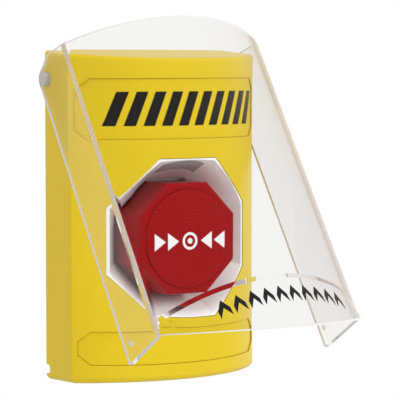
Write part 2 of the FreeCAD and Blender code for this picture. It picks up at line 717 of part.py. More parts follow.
def make_return_spring():
    front, back = -CAP_UNDERSIDE_DEPTH, -WELL_FLOOR_DEPTH - COLLAR_THICKNESS
    sizes = (SPRING_MEAN_RADIUS, SPRING_WIRE, SPRING_TURNS)
    return coil_spring(0, BUTTON_CENTRE_Z, *sizes, front, back)


# Contact blocks

def make_contact_carrier():
    low = BUTTON_CENTRE_Z - CARRIER_HALF_HEIGHT
    high = BUTTON_CENTRE_Z + CARRIER_HALF_HEIGHT
    outline = chamfered_rectangle(CARRIER_HALF_WIDTH, low, high, CARRIER_CORNER, CARRIER_CORNER)
    body = prism_along_y(outline, -CARRIER_FRONT_DEPTH, -CARRIER_BACK_DEPTH)
    half = CARRIER_LEG_HALF_WIDTH
    foot_back = -WELL_BACK_DEPTH + CARRIER_LEG
    for side in (-1, 1):
        outer = BUTTON_CENTRE_Z + side * CARRIER_HALF_HEIGHT
        leg = sorted((outer, outer - side * CARRIER_LEG))
        foot = sorted((outer, BUTTON_CENTRE_Z + side * CARRIER_FOOT_INNER))
        body = body.fuse(box(-half, half, -WELL_BACK_DEPTH, -CARRIER_BACK_DEPTH, *leg))
        body = body.fuse(box(-half, half, -WELL_BACK_DEPTH, foot_back, *foot))
    for x, z in carrier_screw_places():
        body = body.cut(rod(x, z, CARRIER_SCREW_RADIUS, -WELL_BACK_DEPTH, foot_back))
        body = body.cut(rod(x, z, 2 * CARRIER_SCREW_RADIUS + CARRIER_SCREW_HEAD_GAP, foot_back, 0))
    hole = PLUNGER_RADIUS + PLUNGER_HOLE_GAP
    for x in contact_places():
        body = body.cut(rod(x, BUTTON_CENTRE_Z, hole, -CARRIER_FRONT_DEPTH, -CARRIER_BACK_DEPTH))
    return one_solid(body)


def make_carrier_screws():
    seat = -WELL_BACK_DEPTH + CARRIER_LEG
    sizes = (CARRIER_SCREW_RADIUS, 2 * CARRIER_SCREW_RADIUS, CARRIER_SCREW_HEAD, seat, CARRIER_SCREW_LENGTH)
    return Part.makeCompound([pan_screw(place, *sizes) for place in carrier_screw_places()])


def contact_places():
    return (-CONTACT_SPACING / 2, CONTACT_SPACING / 2)


def strip_y():
    """Front and back of the fixed contact strips."""
    front = bridge_y()[1] + CONTACT_OPEN_GAP
    return front, front + BRIDGE_THICKNESS


def bridge_y():
    front = -CARRIER_BACK_DEPTH + BRIDGE_DEPTH
    return front, front + BRIDGE_THICKNESS


def block_back():
    return -CARRIER_BACK_DEPTH + BLOCK_DEPTH


def make_contact_block(x):
    half = BLOCK_WIDTH / 2
    front = -CARRIER_BACK_DEPTH
    low = BUTTON_CENTRE_Z - BLOCK_HEIGHT / 2
    high = BUTTON_CENTRE_Z + BLOCK_HEIGHT / 2
    body = box(x - half, x + half, front, block_back(), low, high)
    upright = edges_near(body, lambda e: e.BoundBox.YLength > 1)
    body = body.makeFillet(BLOCK_ROUNDING, upright)
    wall = BLOCK_WALL
    inner = half - wall
    body = body.cut(box(x - inner, x + inner, front + wall, block_back() - wall, low + wall, high - wall))
    body = body.cut(rod(x, BUTTON_CENTRE_Z, PLUNGER_RADIUS + PLUNGER_HOLE_GAP, front, front + wall))
    y_low, y_high = strip_y()
    body = body.cut(box(x - STRIP_WIDTH / 2, x + STRIP_WIDTH / 2, y_low, y_high, low, high))
    return one_solid(body)


def make_plunger(x):
    tip = -YOKE_BACK_DEPTH + PLUNGER_GAP
    shoulder = bridge_y()[0]
    rod_part = rod(x, BUTTON_CENTRE_Z, PLUNGER_RADIUS, tip, shoulder)
    nose = edges_near(rod_part, lambda e: e.BoundBox.YMax < tip + PLUNGER_RADIUS)
    rod_part = rod_part.makeFillet(PLUNGER_RADIUS / 3, nose)
    end = rod(x, BUTTON_CENTRE_Z, PLUNGER_END_RADIUS, shoulder, bridge_y()[1] + PLUNGER_END_PROUD)
    return one_solid(rod_part.fuse(end))


def make_bridge(x):
    half_width = BRIDGE_WIDTH / 2
    half_length = BRIDGE_LENGTH / 2
    low = BUTTON_CENTRE_Z - half_length
    high = BUTTON_CENTRE_Z + half_length
    outline = chamfered_rectangle(half_width, low, high, BRIDGE_CORNER, BRIDGE_CORNER)
    body = prism_along_y([(x + px, pz) for px, pz in outline], *bridge_y())
    return one_solid(body.cut(rod(x, BUTTON_CENTRE_Z, PLUNGER_END_RADIUS, *bridge_y())))


def make_contact_spring(x):
    back = block_back() - BLOCK_WALL
    sizes = (CONTACT_SPRING_RADIUS, CONTACT_SPRING_WIRE, CONTACT_SPRING_TURNS)
    return coil_spring(x, BUTTON_CENTRE_Z, *sizes, bridge_y()[1], back)


def strip_spans():
    """Lower and upper end of the lower strip, then of the upper one."""
    inner = STRIP_INNER_END
    outer = BLOCK_HEIGHT / 2 + STRIP_OVERHANG
    centre = BUTTON_CENTRE_Z
    return [(centre - outer, centre - inner), (centre + inner, centre + outer)]


def terminal_places(x):
    offset = BLOCK_HEIGHT / 2 + STRIP_OVERHANG / 2
    return [(x, BUTTON_CENTRE_Z + side * offset) for side in (-1, 1)]


def make_fixed_contacts(x):
    y_low, y_high = strip_y()
    half = STRIP_WIDTH / 2
    strips = []
    for (z_low, z_high), (tx, tz) in zip(strip_spans(), terminal_places(x)):
        strip = box(x - half, x + half, y_low, y_high, z_low, z_high)
        strips.append(strip.cut(rod(tx, tz, TERMINAL_SCREW_RADIUS, y_low, y_high)))
    return Part.makeCompound(strips)


def make_terminal_screws():
    seat = strip_y()[1]
    sizes = (TERMINAL_SCREW_RADIUS, TERMINAL_HEAD_RADIUS, TERMINAL_SCREW_HEAD, seat, TERMINAL_SCREW_LENGTH)
    places = [place for x in contact_places() for place in terminal_places(x)]
    return Part.makeCompound([pan_screw(place, *sizes) for place in places])


# Back plate and its locking screw

def plate_top():
    return HALF_HEIGHT - HOUSING_WALL - PLATE_END_GAP


def lock_screw_point():
    return V(0, -LOCK_SCREW_DEPTH, -HALF_HEIGHT + TOP_DRAFT * LOCK_SCREW_DEPTH)


def lock_screw_hole():
    """Stepped hole up through the bottom wall."""
    start = lock_screw_point() - V(0, 0, PAST)
    sink_height = PAST + LOCK_SCREW_HEAD
    hole = Part.makeCylinder(LOCK_SCREW_RADIUS, 2 * HOUSING_WALL, start, ALONG_Z)
    sink = Part.makeCylinder(LOCK_SCREW_HEAD_RADIUS + LOCK_SCREW_GAP, sink_height, start, ALONG_Z)
    return hole.fuse(sink)


def make_lock_screw():
    seat = lock_screw_point() + V(0, 0, LOCK_SCREW_HEAD)
    length = -plate_top() + TAB_THICKNESS - seat.z
    shank = Part.makeCylinder(LOCK_SCREW_RADIUS, length, seat, ALONG_Z)
    height = LOCK_SCREW_HEAD - LOCK_SCREW_GAP
    base = seat - V(0, 0, height)
    head = Part.makeCylinder(LOCK_SCREW_HEAD_RADIUS, height, base, ALONG_Z)
    socket = Part.makeCylinder(LOCK_SCREW_RADIUS / 2, height, base, ALONG_Z)
    return one_solid(shank.fuse(head).cut(socket))


def make_back_plate():
    half = HALF_WIDTH - HOUSING_WALL - PLATE_SIDE_GAP
    top = plate_top()
    outline = chamfered_rectangle(half, -top, top, PLATE_CORNER, PLATE_CORNER)
    body = prism_along_y(outline, -PLATE_THICKNESS, 0)
    half_w, half_h = WIRE_OPENING_WIDTH / 2, WIRE_OPENING_HEIGHT / 2
    middle = BUTTON_CENTRE_Z / 2
    opening = box(-half_w, half_w, -PLATE_THICKNESS, 0, middle - half_h, middle + half_h)
    corners = edges_near(opening, lambda e: e.BoundBox.YLength > 1)
    body = body.cut(opening.makeFillet(WIRE_OPENING_CORNER, corners))
    tab_half = TAB_WIDTH / 2
    edge = top - TOP_DRAFT * TAB_LENGTH
    inner = top - TAB_THICKNESS
    body = body.fuse(box(-tab_half, tab_half, -TAB_LENGTH, -PLATE_THICKNESS, -edge, -inner))
    body = body.fuse(box(-tab_half, tab_half, -TAB_LENGTH, -PLATE_THICKNESS, inner, edge))
    thread = Part.makeCylinder(LOCK_SCREW_RADIUS, 2 * HALF_HEIGHT, lock_screw_point(), ALONG_Z)
    low_tab = box(-tab_half, tab_half, -TAB_LENGTH, -PLATE_THICKNESS, -HALF_HEIGHT, 0)
    body = body.cut(thread.common(low_tab))
    for z in (-WALL_BOX_SPACING / 2, WALL_BOX_SPACING / 2):
        body = body.cut(rod(0, z, WALL_BOX_HOLE_RADIUS, -PLATE_THICKNESS, 0))
    return one_solid(body)


# Cover and its hinge

def opened(shape):
    """Turns a shape from the closed place to the raised one."""
    turned = shape.copy()
    turned.rotate(HINGE_POINT, V(-1, 0, 0), OPEN_ANGLE)
    return turned


def lobe_point(angle):
    """Point on the hinge lobe's rim, at an angle from straight back towards the top."""
    return HINGE_POINT + V(0, LOBE_RADIUS * math.cos(angle), LOBE_RADIUS * math.sin(angle))


def cover_side_profile():
    """Side wall's outline in (y, z), round the hinge lobe."""
    back = -COVER_BACK_GAP
    kink = V(0, -KINK_DEPTH, KINK_HEIGHT)
    rise, run = KINK_HEIGHT - HINGE_HEIGHT, HINGE_DEPTH - KINK_DEPTH
    touch = math.atan2(rise, run) - math.acos(LOBE_RADIUS / math.hypot(rise, run))
    lobe_back = lobe_point(0)
    lobe_mid = lobe_point(touch / 2)
    lobe_top = lobe_point(touch)
    front_top = V(0, -COVER_SIDE_DEPTH, COVER_TOP)
    front_low = V(0, -COVER_SIDE_DEPTH, COVER_BOTTOM)
    back_low = V(0, back, COVER_BOTTOM)
    edges = [
        Part.Arc(lobe_back, lobe_mid, lobe_top).toShape(),
        Part.makeLine(lobe_top, kink),
        Part.makeLine(kink, front_top),
        Part.makeLine(front_top, front_low),
        Part.makeLine(front_low, back_low),
        Part.makeLine(back_low, lobe_back),
    ]
    return Part.Face(Part.Wire(edges))


def fold_line():
    """Two far points (y, z) of the sloping plane in which the front plate folds out into the lip."""
    crown = COVER_SIDE_DEPTH + COVER_BOW
    depths = (-HOUSING_WIDTH, 2 * HOUSING_WIDTH)
    return [(-depth, LIP_FOLD_HEIGHT + LIP_FOLD_SLOPE * (depth - crown)) for depth in depths]


def front_and_lip(half_width, side_depth, bow, back):
    """Upright bowed column, folded outwards below the fold plane without leaving its corners."""
    (y_near, z_near), (y_far, z_far) = fold_line()
    up = V(0, 0, 3 * HOUSING_HEIGHT)
    column = bow_plan(half_width, side_depth, bow, back, -2 * HOUSING_HEIGHT).extrude(up)
    limit = bow_plan(half_width, side_depth, bow + LIP_REACH, back, -2 * HOUSING_HEIGHT).extrude(up)
    above = [(y_near, z_near), (y_far, z_far), (y_far, HOUSING_HEIGHT), (y_near, HOUSING_HEIGHT)]
    upright = column.common(prism_along_x(above, -HOUSING_WIDTH, HOUSING_WIDTH))
    corners = [(-HOUSING_WIDTH, y_near, z_near), (HOUSING_WIDTH, y_near, z_near)]
    corners += [(HOUSING_WIDTH, y_far, z_far), (-HOUSING_WIDTH, y_far, z_far)]
    cut = polygon_face([V(*corner) for corner in corners]).common(column)
    down = V(0, -math.sin(LIP_TILT), -math.cos(LIP_TILT)) * HALF_HEIGHT
    lip = cut.Faces[0].extrude(down).common(limit)
    return upright.fuse(lip)


def cover_space():
    """Side view of the space that the cover keeps: below its top and above its sloping foot."""
    reach = 2 * COVER_BOW
    foot = COVER_BOTTOM - LIP_FOOT_SLOPE * reach
    side = [
        (0, COVER_BOTTOM),
        (-COVER_SIDE_DEPTH, COVER_BOTTOM),
        (-COVER_SIDE_DEPTH - reach, foot),
        (-COVER_SIDE_DEPTH - reach, COVER_TOP),
        (0, COVER_TOP),
    ]
    return prism_along_x(side, -COVER_HALF_WIDTH, COVER_HALF_WIDTH)


def cover_cavity():
    """Hollow between the front plate and the side walls, open at the back, the top and the foot."""
    radius = (COVER_HALF_WIDTH**2 + COVER_BOW**2) / (2 * COVER_BOW) - COVER_WALL
    centre = radius + COVER_WALL - COVER_SIDE_DEPTH - COVER_BOW
    side_depth = math.sqrt(radius**2 - COVER_INNER_HALF**2) - centre
    bow = COVER_SIDE_DEPTH + COVER_BOW - COVER_WALL - side_depth
    return front_and_lip(COVER_INNER_HALF, side_depth, bow, HOUSING_WIDTH)


def closed_cover():
    walls = cover_side_profile().extrude(V(2 * COVER_HALF_WIDTH, 0, 0))
    walls.translate(V(-COVER_HALF_WIDTH, 0, 0))
    behind = COVER_WALL - COVER_SIDE_DEPTH
    front = front_and_lip(COVER_HALF_WIDTH, COVER_SIDE_DEPTH, COVER_BOW, behind)
    body = walls.fuse(front.common(cover_space()))
    body = body.cut(cover_cavity())
    for side in (-1, 1):
        start = V(side * COVER_INNER_HALF, -NUB_DEPTH, NUB_Z)
        nub = Part.makeCone(NUB_RADIUS, NUB_RADIUS - NUB_HEIGHT, NUB_HEIGHT, start, V(-side, 0, 0))
        body = body.fuse(nub)
    body = body.cut(bar_along_x(PIN_RADIUS, -HINGE_DEPTH, HINGE_HEIGHT))
    return one_solid(body)


def make_hinge_pin(side):
    inner = HALF_WIDTH - HOUSING_WALL - PIN_INNER_REACH
    length = COVER_HALF_WIDTH + PIN_PROUD - inner
    pin = Part.makeCylinder(PIN_RADIUS, length, HINGE_POINT + V(side * inner, 0, 0), V(side, 0, 0))
    ends = edges_near(pin, lambda e: e.BoundBox.XLength < length / 2)
    return pin.makeChamfer(PIN_PROUD / 2, ends)


def build_parts():
    left, right = contact_places()
    return {
        "housing": make_housing(),
        "upper_label": make_label(UPPER_PANEL, UPPER_CHAMFER_SHARE),
        "lower_label": make_label(LOWER_PANEL, LOWER_CHAMFER_SHARE),
        "bezel_dish": make_dish(),
        "status_lens": make_lens(),
        "lamp_board": make_lamp_board(),
        "status_lamp": make_lamp(),
        "bezel_screws": make_bezel_screws(),
        "button_cap": make_button_cap(),
        "button_face": make_button_face(),
        "button_stem": make_button_stem(),
        "stem_screw": make_stem_screw(),
        "operator_sleeve": make_sleeve(),
        "sleeve_nut": make_sleeve_nut(),
        "return_spring": make_return_spring(),
        "contact_carrier": make_contact_carrier(),
        "carrier_screws": make_carrier_screws(),
        "contact_block_left": make_contact_block(left),
        "contact_block_right": make_contact_block(right),
        "plunger_left": make_plunger(left),
        "plunger_right": make_plunger(right),
        "contact_bridge_left": make_bridge(left),
        "contact_bridge_right": make_bridge(right),
        "contact_spring_left": make_contact_spring(left),
        "contact_spring_right": make_contact_spring(right),
        "fixed_contacts_left": make_fixed_contacts(left),
        "fixed_contacts_right": make_fixed_contacts(right),
        "terminal_screws": make_terminal_screws(),
        "back_plate": make_back_plate(),
        "lock_screw": make_lock_screw(),
        "cover": opened(closed_cover()),
        "hinge_pin_left": make_hinge_pin(-1),
        "hinge_pin_right": make_hinge_pin(1),
    }


def main():
    os.makedirs("parts", exist_ok=True)
    for name, shape in build_parts().items():
        shape.exportStep(os.path.join("parts", name + ".step"))


main()
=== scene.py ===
import json
import math

import bmesh
import bpy
from bpy.props import FloatProperty, FloatVectorProperty, IntProperty, PointerProperty
from bpy.types import Operator, Panel, PropertyGroup
from mathutils import Matrix, Vector


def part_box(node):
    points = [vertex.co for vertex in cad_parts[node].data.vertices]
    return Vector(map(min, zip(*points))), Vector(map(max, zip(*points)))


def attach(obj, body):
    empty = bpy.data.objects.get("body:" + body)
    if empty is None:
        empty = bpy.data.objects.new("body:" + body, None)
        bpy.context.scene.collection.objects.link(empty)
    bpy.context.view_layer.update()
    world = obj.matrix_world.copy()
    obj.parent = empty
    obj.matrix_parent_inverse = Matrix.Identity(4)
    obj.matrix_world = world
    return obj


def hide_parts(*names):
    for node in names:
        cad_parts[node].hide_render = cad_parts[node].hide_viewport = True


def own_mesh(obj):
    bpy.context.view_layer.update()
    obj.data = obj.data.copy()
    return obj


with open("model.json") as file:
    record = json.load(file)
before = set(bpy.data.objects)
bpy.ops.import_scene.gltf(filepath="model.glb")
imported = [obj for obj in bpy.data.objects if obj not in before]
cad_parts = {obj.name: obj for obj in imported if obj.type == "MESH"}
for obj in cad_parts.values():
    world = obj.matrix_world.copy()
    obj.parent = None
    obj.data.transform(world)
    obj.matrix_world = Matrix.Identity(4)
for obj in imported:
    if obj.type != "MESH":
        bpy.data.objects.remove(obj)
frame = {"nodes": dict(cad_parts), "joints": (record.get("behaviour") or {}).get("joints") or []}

bl_info = {
    "name": "Guarded Push Station",
    "version": (1, 0, 0),
    "blender": (4, 5, 0),
    "location": "View3D > Sidebar > Push Station",
    "description": "Looks of a wall-mounted emergency push button with a clear cover",
    "category": "Add Mesh",
}

MM = 0.001
MERGE = 1e-6  # vertices closer than this are joined
NEAR = 0.02 * MM  # a vertex this close to a line counts as on it

EDGE_TINT = (0.76, 0.72, 0.74)  # light that is trapped in the cover's walls
BUMP_DEPTH = 0.2 * MM
CLEAR_BUMP_DEPTH = 0.1 * MM

HARD_ABOVE = math.radians(25)  # the cover's edges above this are rounded
SMOOTH_BELOW = math.radians(3.5)  # the cover's edges above this are shaded sharp
SHELL_SMOOTH_BELOW = math.radians(20)
CORNER_SEGMENTS = 5
CORNER_CLEAR = 1.2  # no strip ends within this many corner widths of a corner
LIMIT_POWER = 8  # how suddenly the lip's lean stops at its reach
LOBE_STEPS = 8
LOBE_STEP = 9  # degrees
LOBE_END = 3.2 * MM
SIDE_MIDDLE = 16 * MM

ROUND_STEPS = 6  # cuts in each rounded edge of the housing
BEVEL_ZONE = 5.5 * MM
END_ZONE = 2 * MM
FRONT_NEAR = 0.1 * MM

LIP_PRINT_GAP = 0.02 * MM
FACE_PRINT_GAP = 0.01 * MM
ARROW_SPACE = 0.6  # gap between two arrows, as a share of the gap at the ring

WHITE = (1, 1, 1)
LIGHT_TARGET = (0, -0.03, 0)
LIGHTS = (  # name, place, size, power in watts, tint
    ("key", (0.55, -0.85, 0.5), (0.5, 0.5), 4.8, WHITE),
    ("front_fill", (0.15, -0.98, 0.2), (0.4, 0.4), 3.0, WHITE),
    ("left_fill", (-1.0, -0.14, 0.15), (0.4, 0.8), 3.2, (1, 0.93, 0.82)),
    ("top", (-0.1, -0.2, 0.9), (0.6, 0.4), 2.6, WHITE),
)
WORLD_TINT = (1.0, 0.99, 0.98, 1)
WORLD_STRENGTH = 0.42
FLOOR_TINT = (0.82, 0.82, 0.83)
FLOOR_RADIUS = 0.6
FLOOR_PLACE = (0, -0.02, -0.30)
CAMERA_YAW = math.radians(33.1)
CAMERA_PITCH = math.radians(3.71)
CAMERA_DISTANCE = 0.7976
CAMERA_TARGET = (0.02809, 0, 0.00339)
CAMERA_LENS = 185.2
CAMERA_SENSOR = 36


def length(name, description, default):
    """A size property in metres, given in millimetres."""
    return FloatProperty(name=name, description=description, default=default * MM, unit="LENGTH", precision=5)


def ratio(name, description, default):
    """A slope, or a part of something, from 0 to 1."""
    return FloatProperty(name=name, description=description, default=default, min=0, max=1, subtype="FACTOR")


def colour(name, description, default):
    """A colour property."""
    return FloatVectorProperty(
        name=name, description=description, default=default, size=3, min=0, max=1, subtype="COLOR"
    )


class StationCover(PropertyGroup):
    """Sizes of the clear cover, in its closed place."""

    half_width: length("Half Width", "Outer half width", 42.9)
    wall: length("Wall", "Thickness of the walls", 2.1)
    back: length("Back Edge", "Gap between the walls and the wall plane", 0.5)
    side_depth: length("Side Depth", "Depth of the side walls", 22.9)
    bow: length("Bow", "Rise of the front's bow", 18.7)
    top: length("Top", "Height of the front's upper edge", 53.5)
    bottom: length("Bottom", "Height of the side walls' lower edge", -64.5)
    kink_depth: length("Kink Depth", "Depth of the side walls' highest corner", 11.0)
    kink_height: length("Kink Height", "Height of the side walls' highest corner", 56.5)
    lobe: length("Lobe", "Radius of the rounded end at the hinge", 3.5)
    fold: length("Fold Height", "Height of the fold above the lip, at the bow's crown", -55.1)
    fold_slope: ratio("Fold Slope", "Rise of the fold towards the front", 0.31)
    lip_tilt: FloatProperty(
        name="Lip Tilt", description="How far the lip leans out", default=math.radians(11), subtype="ANGLE"
    )
    lip_reach: length("Lip Reach", "How far the lip may stand out at the crown", 5.2)
    foot_slope: ratio("Foot Slope", "Fall of the lower edge towards the front", 0.5)
    edge: length("Edge", "Width of the rounding on the edges", 0.3)
    corner: length("Corner", "Width of the rounding on the upright corners", 2.0)
    fold_step: length("Fold Step", "How much higher the fold lies on the inner face", 2.9)
    nub: length("Nub", "Radius of the latch nubs", 1.2)
    nub_height: length("Nub Height", "How far the latch nubs stand out", 0.5)
    nub_depth: length("Nub Depth", "Depth of the latch nubs", 4.4)
    nub_place: length("Nub Place", "Height of the latch nubs", -58.2)
    steps: IntProperty(name="Steps", description="Strips across the bowed front", default=72, min=8, max=200)
    open_angle: FloatProperty(
        name="Open Angle",
        description="How far the cover is raised at rest",
        default=math.radians(33.2),
        subtype="ANGLE",
    )


class StationHousing(PropertyGroup):
    """Sizes of the housing's rounded upper and lower edges."""

    side_depth: length("Side Depth", "Depth of the side walls", 18.7)
    bow: length("Bow", "Rise of the front's bow", 17.9)
    top_draft: ratio("Top Draft", "Fall of the top for each unit of depth", 0.09)
    draft: ratio("Draft", "Rise of the bottom for each unit of depth", 0.035)
    top_edge: length("Top Edge", "Radius of the rounding along the top", 1.5)
    edge: length("Edge", "Radius of the rounding along the bottom", 2.6)


class StationPrint(PropertyGroup):
    """Sizes of the plain printed shapes."""

    stripe_low: length("Stripes Low", "Lower end of the label's stripes", 33.2)
    stripe_high: length("Stripes High", "Upper end of the label's stripes", 45.6)
    stripe_left: length("Stripes Left", "Left end of the stripes", -31.0)
    stripe_pitch: length("Stripe Pitch", "Distance between stripes", 6.6)
    stripe_count: IntProperty(name="Stripe Count", description="Number of stripes", default=10, min=1, max=30)
    stripe_share: ratio("Stripe Share", "Dark part of each pitch", 0.62)
    stripe_lean: ratio("Stripe Lean", "Sideways lean for each unit of height", 0.35)
    ring_radius: length("Ring Radius", "Outer radius of the ring on the button", 3.2)
    ring_width: length("Ring Width", "Width of that ring", 0.95)
    dot_radius: length("Dot Radius", "Radius of the dot in the ring", 1.05)
    arrow_length: length("Arrow Length", "Length of each arrow beside the ring", 4.7)
    arrow_gap: length("Arrow Gap", "Gap between the ring and the arrows", 1.6)
    symbol_x: length("Symbol X", "Sideways place of the symbol", 0.6)
    symbol_z: length("Symbol Z", "Height of the symbol", -9.0)
    chevron_top: length("Chevron Top", "Distance from the lip's fold to the chevrons", 3.2)
    chevron_height: length("Chevron Height", "Height of a chevron", 7.1)
    chevron_width: length("Chevron Width", "Width of a chevron", 4.1)
    chevron_stroke: length("Chevron Stroke", "Upright thickness of a chevron's stroke", 3.3)
    chevron_span: length("Chevron Span", "Distance across the whole row", 52.0)
    chevron_count: IntProperty(
        name="Chevron Count", description="Number of chevrons", default=10, min=2, max=30
    )
    lift: length("Lift", "Thickness of the print", 0.05)


class StationColours(PropertyGroup):
    """Colours of the pieces."""

    yellow: colour("Yellow", "Housing and labels", (0.73, 0.54, 0.017))
    white: colour("White", "Dish around the button", (0.95, 0.95, 0.95))
    red: colour("Red", "Push button", (0.31, 0.004, 0.006))
    clear: colour("Clear", "Cover", (0.91, 0.91, 0.905))
    smoke: colour("Smoke", "Status window", (0.5, 0.51, 0.52))
    black: colour("Black", "Print and inner plastic", (0.012, 0.012, 0.013))
    grey: colour("Grey", "Back plate and contact blocks", (0.19, 0.195, 0.20))
    pin: colour("Pin", "Hinge pins", (0.50, 0.48, 0.46))
    board: colour("Board", "Lamp board", (0.012, 0.10, 0.034))
    lamp: colour("Lamp", "Status lamp", (0.66, 0.66, 0.6))
    steel: colour("Steel", "Screws and springs", (0.44, 0.45, 0.46))
    brass: colour("Brass", "Contacts", (0.55, 0.37, 0.09))
    ink_white: colour("White Ink", "Print on the button", (0.86, 0.86, 0.86))


# Node helpers

def add(tree, kind, inputs=(), **settings):
    """A node with its settings, and each input linked or set to a value."""
    node = tree.nodes.new(kind)
    for key, value in settings.items():
        setattr(node, key, value)
    for key, value in dict(inputs).items():
        if isinstance(value, bpy.types.NodeSocket):
            tree.links.new(value, node.inputs[key])
        else:
            node.inputs[key].default_value = value
    return node


def calc(tree, operation, first, second=0.0, clamp=False):
    """The result of a sum on two sockets or numbers."""
    node = add(tree, "ShaderNodeMath", {0: first, 1: second}, operation=operation, use_clamp=clamp)
    return node.outputs[0]


def noise(tree, place, scale, detail):
    node = add(tree, "ShaderNodeTexNoise", {"Vector": place, "Scale": scale, "Detail": detail})
    return node.outputs[0]


def new_group(name, inputs, outputs):
    """A shader group with float and colour sockets. Returns the tree and its inner input sockets."""
    tree = bpy.data.node_groups.new(name, "ShaderNodeTree")
    kinds = {"float": "NodeSocketFloat", "colour": "NodeSocketColor"}
    for label, kind, default in inputs:
        socket = tree.interface.new_socket(label, in_out="INPUT", socket_type=kinds[kind])
        socket.default_value = default
    for label, kind in outputs:
        tree.interface.new_socket(label, in_out="OUTPUT", socket_type=kinds[kind])
    source = tree.nodes.new("NodeGroupInput")
    return tree, {socket.name: socket for socket in source.outputs if socket.name}


def close_group(tree, results):
    """Links the group's results to its outputs."""
    sink = tree.nodes.new("NodeGroupOutput")
    for label, socket in results.items():
        tree.links.new(socket, sink.inputs[label])
    return tree


def skin_group():
    """Slow change of shade and gloss over a moulded or drawn surface, and a fine grain."""
    tree, given = new_group(
        "station_skin",
        [
            ("Color", "colour", (0.8, 0.8, 0.8, 1)),
            ("Shade", "float", 0.06),
            ("Scale", "float", 40.0),
            ("Grain", "float", 900.0),
            ("Roughness", "float", 0.3),
            ("Spread", "float", 0.08),
        ],
        [("Color", "colour"), ("Roughness", "float"), ("Height", "float")],
    )
    place = add(tree, "ShaderNodeTexCoord").outputs["Object"]
    slow = noise(tree, place, given["Scale"], 3.0)
    fine = noise(tree, place, given["Grain"], 2.0)
    swing = calc(tree, "SUBTRACT", slow, 0.5)
    factor = calc(tree, "ADD", calc(tree, "MULTIPLY", swing, given["Shade"]), 1.0)
    scaled = add(tree, "ShaderNodeVectorMath", {0: given["Color"], "Scale": factor}, operation="SCALE")
    gloss = calc(tree, "ADD", calc(tree, "MULTIPLY", swing, given["Spread"]), given["Roughness"], clamp=True)
    return close_group(tree, {"Color": scaled.outputs[0], "Roughness": gloss, "Height": fine})


def stripes_group():
    """Leaning dark stripes between two heights, on any other colour."""
    tree, given = new_group(
        "station_stripes",
        [
            ("Color", "colour", (0.8, 0.8, 0.8, 1)),
            ("Ink", "colour", (0, 0, 0, 1)),
            ("Low", "float", 0.0),
            ("High", "float", 0.01),
            ("Left", "float", 0.0),
            ("Pitch", "float", 0.005),
            ("Count", "float", 10.0),
            ("Share", "float", 0.5),
            ("Lean", "float", 0.3),
        ],
        [("Color", "colour"), ("Mask", "float")],
    )
    place = add(tree, "ShaderNodeTexCoord").outputs["Object"]
    part = add(tree, "ShaderNodeSeparateXYZ", {0: place})
    x, z = part.outputs["X"], part.outputs["Z"]
    rise = calc(tree, "SUBTRACT", z, given["Low"])
    lean = calc(tree, "MULTIPLY", rise, given["Lean"])
    shifted = calc(tree, "SUBTRACT", calc(tree, "SUBTRACT", x, given["Left"]), lean)
    turns = calc(tree, "DIVIDE", shifted, given["Pitch"])
    dark = calc(tree, "LESS_THAN", calc(tree, "FRACT", turns), given["Share"])
    started, ended = calc(tree, "GREATER_THAN", turns, 0.0), calc(tree, "LESS_THAN", turns, given["Count"])
    above, below = calc(tree, "GREATER_THAN", rise, 0.0), calc(tree, "LESS_THAN", z, given["High"])
    inside = calc(tree, "MULTIPLY", started, ended)
    level = calc(tree, "MULTIPLY", above, below)
    mask = calc(tree, "MULTIPLY", dark, calc(tree, "MULTIPLY", inside, level))
    mixed = add(tree, "ShaderNodeMix", {0: mask, 6: given["Color"], 7: given["Ink"]}, data_type="RGBA")
    return close_group(tree, {"Color": mixed.outputs[2], "Mask": mask})


def shared_group(name):
    """One of the shared groups, made when it is first asked for."""
    makers = {"station_skin": skin_group, "station_stripes": stripes_group}
    return bpy.data.node_groups.get(name) or makers[name]()


def use_group(tree, name, inputs):
    return add(tree, "ShaderNodeGroup", inputs, node_tree=shared_group(name))


def rgba(value):
    return (*value, 1.0)


def blank_material(name):
    material = bpy.data.materials.new(name)
    material.use_nodes = True
    material.node_tree.nodes.clear()
    return material, material.node_tree


def bumped(tree, height, strength, distance):
    bump = add(tree, "ShaderNodeBump", {"Height": height, "Strength": strength, "Distance": distance})
    return bump.outputs["Normal"]


def solid_material(
    name, base, roughness, shade=0.06, metallic=0.0, coat=0.0, bump=0.06, scale=40.0, gloss=0.3
):
    """Moulded plastic, paint, ink or metal with the shared skin."""
    material, tree = blank_material(name)
    skin = use_group(
        tree, "station_skin", {"Color": rgba(base), "Shade": shade, "Scale": scale, "Roughness": roughness}
    )
    shader = add(
        tree,
        "ShaderNodeBsdfPrincipled",
        {
            "Base Color": skin.outputs["Color"],
            "Roughness": skin.outputs["Roughness"],
            "Metallic": metallic,
            "Specular IOR Level": 0.5 if metallic else gloss,
            "Coat Weight": coat,
            "Coat Roughness": 0.08,
            "Normal": bumped(tree, skin.outputs["Height"], bump, BUMP_DEPTH),
        },
    )
    output = add(tree, "ShaderNodeOutputMaterial")
    tree.links.new(shader.outputs[0], output.inputs["Surface"])
    return material


def striped_material(name, colours, sizes):
    """Yellow plate with the dark stripes."""
    material = solid_material(name, colours.yellow, 0.3, bump=0.03, gloss=0.12)
    tree = material.node_tree
    shader = next(n for n in tree.nodes if n.type == "BSDF_PRINCIPLED")
    skin = next(n for n in tree.nodes if n.type == "GROUP")
    stripes = use_group(
        tree,
        "station_stripes",
        {
            "Color": skin.outputs["Color"],
            "Ink": rgba(colours.black),
            "Low": sizes.stripe_low,
            "High": sizes.stripe_high,
            "Left": sizes.stripe_left,
            "Pitch": sizes.stripe_pitch,
            "Count": float(sizes.stripe_count),
            "Share": sizes.stripe_share,
            "Lean": sizes.stripe_lean,
        },
    )
    tree.links.new(stripes.outputs["Color"], shader.inputs["Base Color"])
    return material


